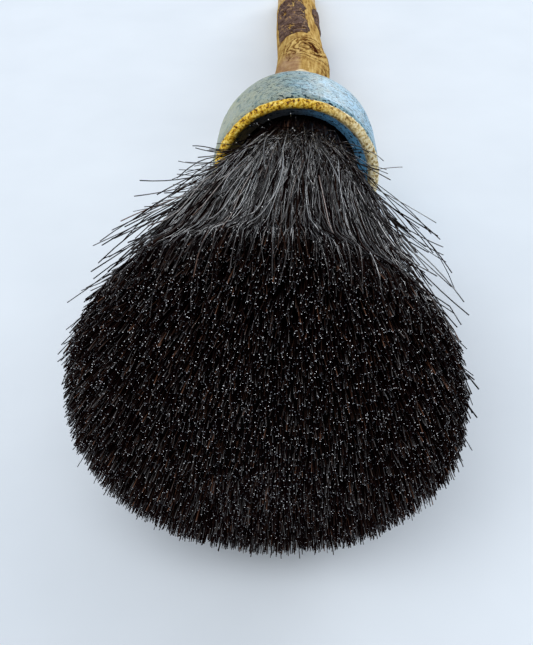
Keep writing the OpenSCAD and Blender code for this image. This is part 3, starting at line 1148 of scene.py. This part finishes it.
def make_bark_look():
    look = Look("bark", roughness=0.85, specular_ior_level=0.04)
    at = look.attribute("brush", "Vector")
    streaks = look.noise(look.scale(at, (1.0, 1.0, 0.7)), 0.55, 5.0, 1.4)
    bark_colour = look.ramp(
        streaks,
        (0.34, (0.035, 0.016, 0.010)),
        (0.45, (0.120, 0.070, 0.054)),
        (0.56, (0.180, 0.112, 0.088)),
        (0.65, (0.42, 0.25, 0.10)),
    )
    fissures = look.noise(look.scale(at, (0.8, 0.8, 1.2)), 1.1, 3.0, 2.0)
    fissure = look.ramp(fissures, (0.47, 0.0), (0.50, 0.85), (0.53, 0.0))
    bark_colour = look.mix(fissure, bark_colour, (0.02, 0.009, 0.006))
    thin = look.rest(look.ramp(look.attribute("edge"), (0.1, 0.0), (0.6, 1.0)))
    look.set(base_color=look.mix(look.times(thin, 0.7), bark_colour, (0.06, 0.026, 0.012)))
    look.bump(look.noise(look.scale(at, (1.0, 1.0, 0.4)), 2.4, 4.0), 0.25, 0.7)
    return look.material


# The inside pieces, and the glue at the cup's back

GLUE_COLUMNS = 144
GLUE_STEP = 0.3


def glue():
    """The cream glue around the peg, with the uneven bead that it squeezed out at the cup's back."""
    pairs = section("handle_glue", handle_axis)
    inner_r = pairs[:, 1].min()
    start = pairs[:, 0].min()
    film = pairs[(pairs[:, 0] < cup_len - 1) & (pairs[:, 1] > inner_r + 0.1), 1].max()
    bead = pairs[:, 1].max() - inner_r
    sweep = np.linspace(0, math.pi / 2, 12)
    back = cup_len + SOCKET_CLEARANCE
    ring = np.stack([back + bead * np.sin(sweep), inner_r + bead * np.cos(sweep)], 1)
    loop = np.concatenate([[(start, inner_r), (start, film), (back, film)], ring, [(start, inner_r)]])
    along, radius, angle = spun(resample(loop, GLUE_STEP)[:-1], GLUE_COLUMNS)
    points = handle_axis.place(radius, angle, along)
    swollen = smooth(cup_len, cup_len + 0.3, along) * smooth(inner_r, inner_r + 0.4, radius)
    lump = swollen * (0.30 * noise(points, 3.0) + 0.12 * noise(points, 1.1, 2))
    grid = handle_axis.place(radius + lump, angle, along + 0.4 * lump)
    piece = turned("handle_glue_bead", grid, closed=True)
    paint(piece, "brush", points.reshape(-1, 3))
    stand_for(piece, "handle_glue", make_glue_look())


def make_glue_look():
    look = Look("cream_glue", roughness=0.35)
    cloud = look.noise(look.attribute("brush", "Vector"), 0.8, 4.0)
    look.set(base_color=look.ramp(cloud, (0.35, (0.60, 0.46, 0.27)), (0.65, (0.80, 0.70, 0.50))))
    look.bump(cloud, 0.2, 0.5)
    return look.material


def inside_pieces():
    """Materials for the pieces that the cup hides, which stay as the frame has them."""
    for node, name, roughness, stretch, grain, low, high, relief in (
        ("hair_root", "bound_hair", 0.6, None, (1.4, 3.0),
         (0.4, (0.006, 0.005, 0.005)), (0.7, (0.05, 0.035, 0.025)), (0.3, 1.0)),
        ("potting_resin", "amber_resin", 0.22, None, (0.35, 4.0, 0.5),
         (0.3, (0.16, 0.075, 0.02)), (0.7, (0.34, 0.18, 0.06)), (0.2, 0.4)),
        ("binding_cord", "waxed_cord", 0.7, (1.0, 3.0, 1.0), (2.0, 4.0, 1.0),
         (0.35, (0.30, 0.22, 0.12)), (0.65, (0.62, 0.52, 0.34)), (0.3, 1.0)),
    ):
        look = Look(name, roughness=roughness)
        at = look.scale(look.new("TexCoord").outputs["Object"], (1000.0, 1000.0, 1000.0))
        if stretch:
            at = look.scale(at, stretch)
        cloud = look.noise(at, *grain)
        look.set(base_color=look.ramp(cloud, low, high))
        look.bump(cloud, *relief)
        mesh = frame["nodes"][node].data
        mesh.materials.clear()
        mesh.materials.append(look.material)


# The stage

CAMERA_AT = Vector((2.9, -101.3, 137.8)) * MM
CAMERA_PITCH = 42.0
CAMERA_HEADING = 2.0
CAMERA_ROLL = 1.2
CAMERA_LENS = 47.2
FLOOR_SIZE = 8.0
SKY_STRENGTH = 0.55
WINDOW_AT = (1.0, 2.0, 0.52)
WINDOW_WATTS = 34.0
CEILING_AT = (-0.7, -1.3, 2.2)
CEILING_WATTS = 57.0


def area_light(name, location, target, size, energy, colour):
    light = bpy.data.lights.new(name, "AREA")
    light.shape = "RECTANGLE"
    light.size, light.size_y = size
    light.energy = energy
    light.color = colour
    lamp = bpy.data.objects.new(name, light)
    lamp.location = location
    lamp.rotation_euler = (Vector(target) - Vector(location)).to_track_quat("-Z", "Y").to_euler()
    bpy.context.scene.collection.objects.link(lamp)


def stage():
    scene = bpy.context.scene
    mesh = bpy.data.meshes.new("floor")
    half = FLOOR_SIZE / 2
    square = [(-half, -half, 0), (half, -half, 0), (half, half, 0), (-half, half, 0)]
    mesh.from_pydata(square, [], [(0, 1, 2, 3)])
    floor = bpy.data.objects.new("floor", mesh)
    scene.collection.objects.link(floor)
    look = Look("pale_table", roughness=0.9, specular_ior_level=0.0)
    paper = look.noise(look.new("TexCoord").outputs["Object"], 30.0, 3.0)
    look.set(base_color=look.ramp(paper, (0.3, (0.79, 0.84, 0.90)), (0.7, (0.83, 0.88, 0.94))))
    mesh.materials.append(look.material)
    world = bpy.data.worlds.new("studio")
    world.use_nodes = True
    sky = Nodes(world.node_tree)
    _, backwards, _ = sky.parts(sky.new("TexCoord").outputs["Generated"])
    background = world.node_tree.nodes["Background"].inputs
    sky_colour = sky.ramp(backwards, (0.0, (0.72, 0.76, 0.81)), (0.6, (0.80, 0.88, 0.98)))
    sky.link(sky_colour, background["Color"])
    sky.link(SKY_STRENGTH, background["Strength"])
    scene.world = world
    area_light("window", WINDOW_AT, (0, 0, 0.02), (1.5, 0.8), WINDOW_WATTS, (0.94, 0.97, 1.0))
    area_light("ceiling", CEILING_AT, (0, -0.1, 0), (3.2, 3.2), CEILING_WATTS, (0.97, 0.99, 1.0))
    camera_data = bpy.data.cameras.new("camera")
    camera_data.lens = CAMERA_LENS
    camera_data.clip_start = 0.005
    camera = bpy.data.objects.new("camera", camera_data)
    turn = (
        Matrix.Rotation(math.radians(CAMERA_HEADING), 4, "Z")
        @ Matrix.Rotation(math.radians(90 - CAMERA_PITCH), 4, "X")
        @ Matrix.Rotation(math.radians(-CAMERA_ROLL), 4, "Z")
    )
    camera.matrix_world = Matrix.Translation(CAMERA_AT) @ turn
    scene.collection.objects.link(camera)
    scene.camera = camera
    scene.view_settings.view_transform = "Standard"


bright_hair = make_hair_look("horsehair", (0.2, 0.0), (0.5, 0.15), (0.75, 0.9), (1.0, 1.0))
dull_hair = make_hair_look("horsehair_inner", (0.5, 0.0), (0.75, 0.05), (0.88, 0.6), (1.0, 1.0))
hair_core()
coat()
loose_hair()
lying_hair()
draped_hair()
stray_hair()
streak_hair()
crossing_hair()
flyaway_hair()
cup()
handle()
bark()
glue()
inside_pieces()
stage()
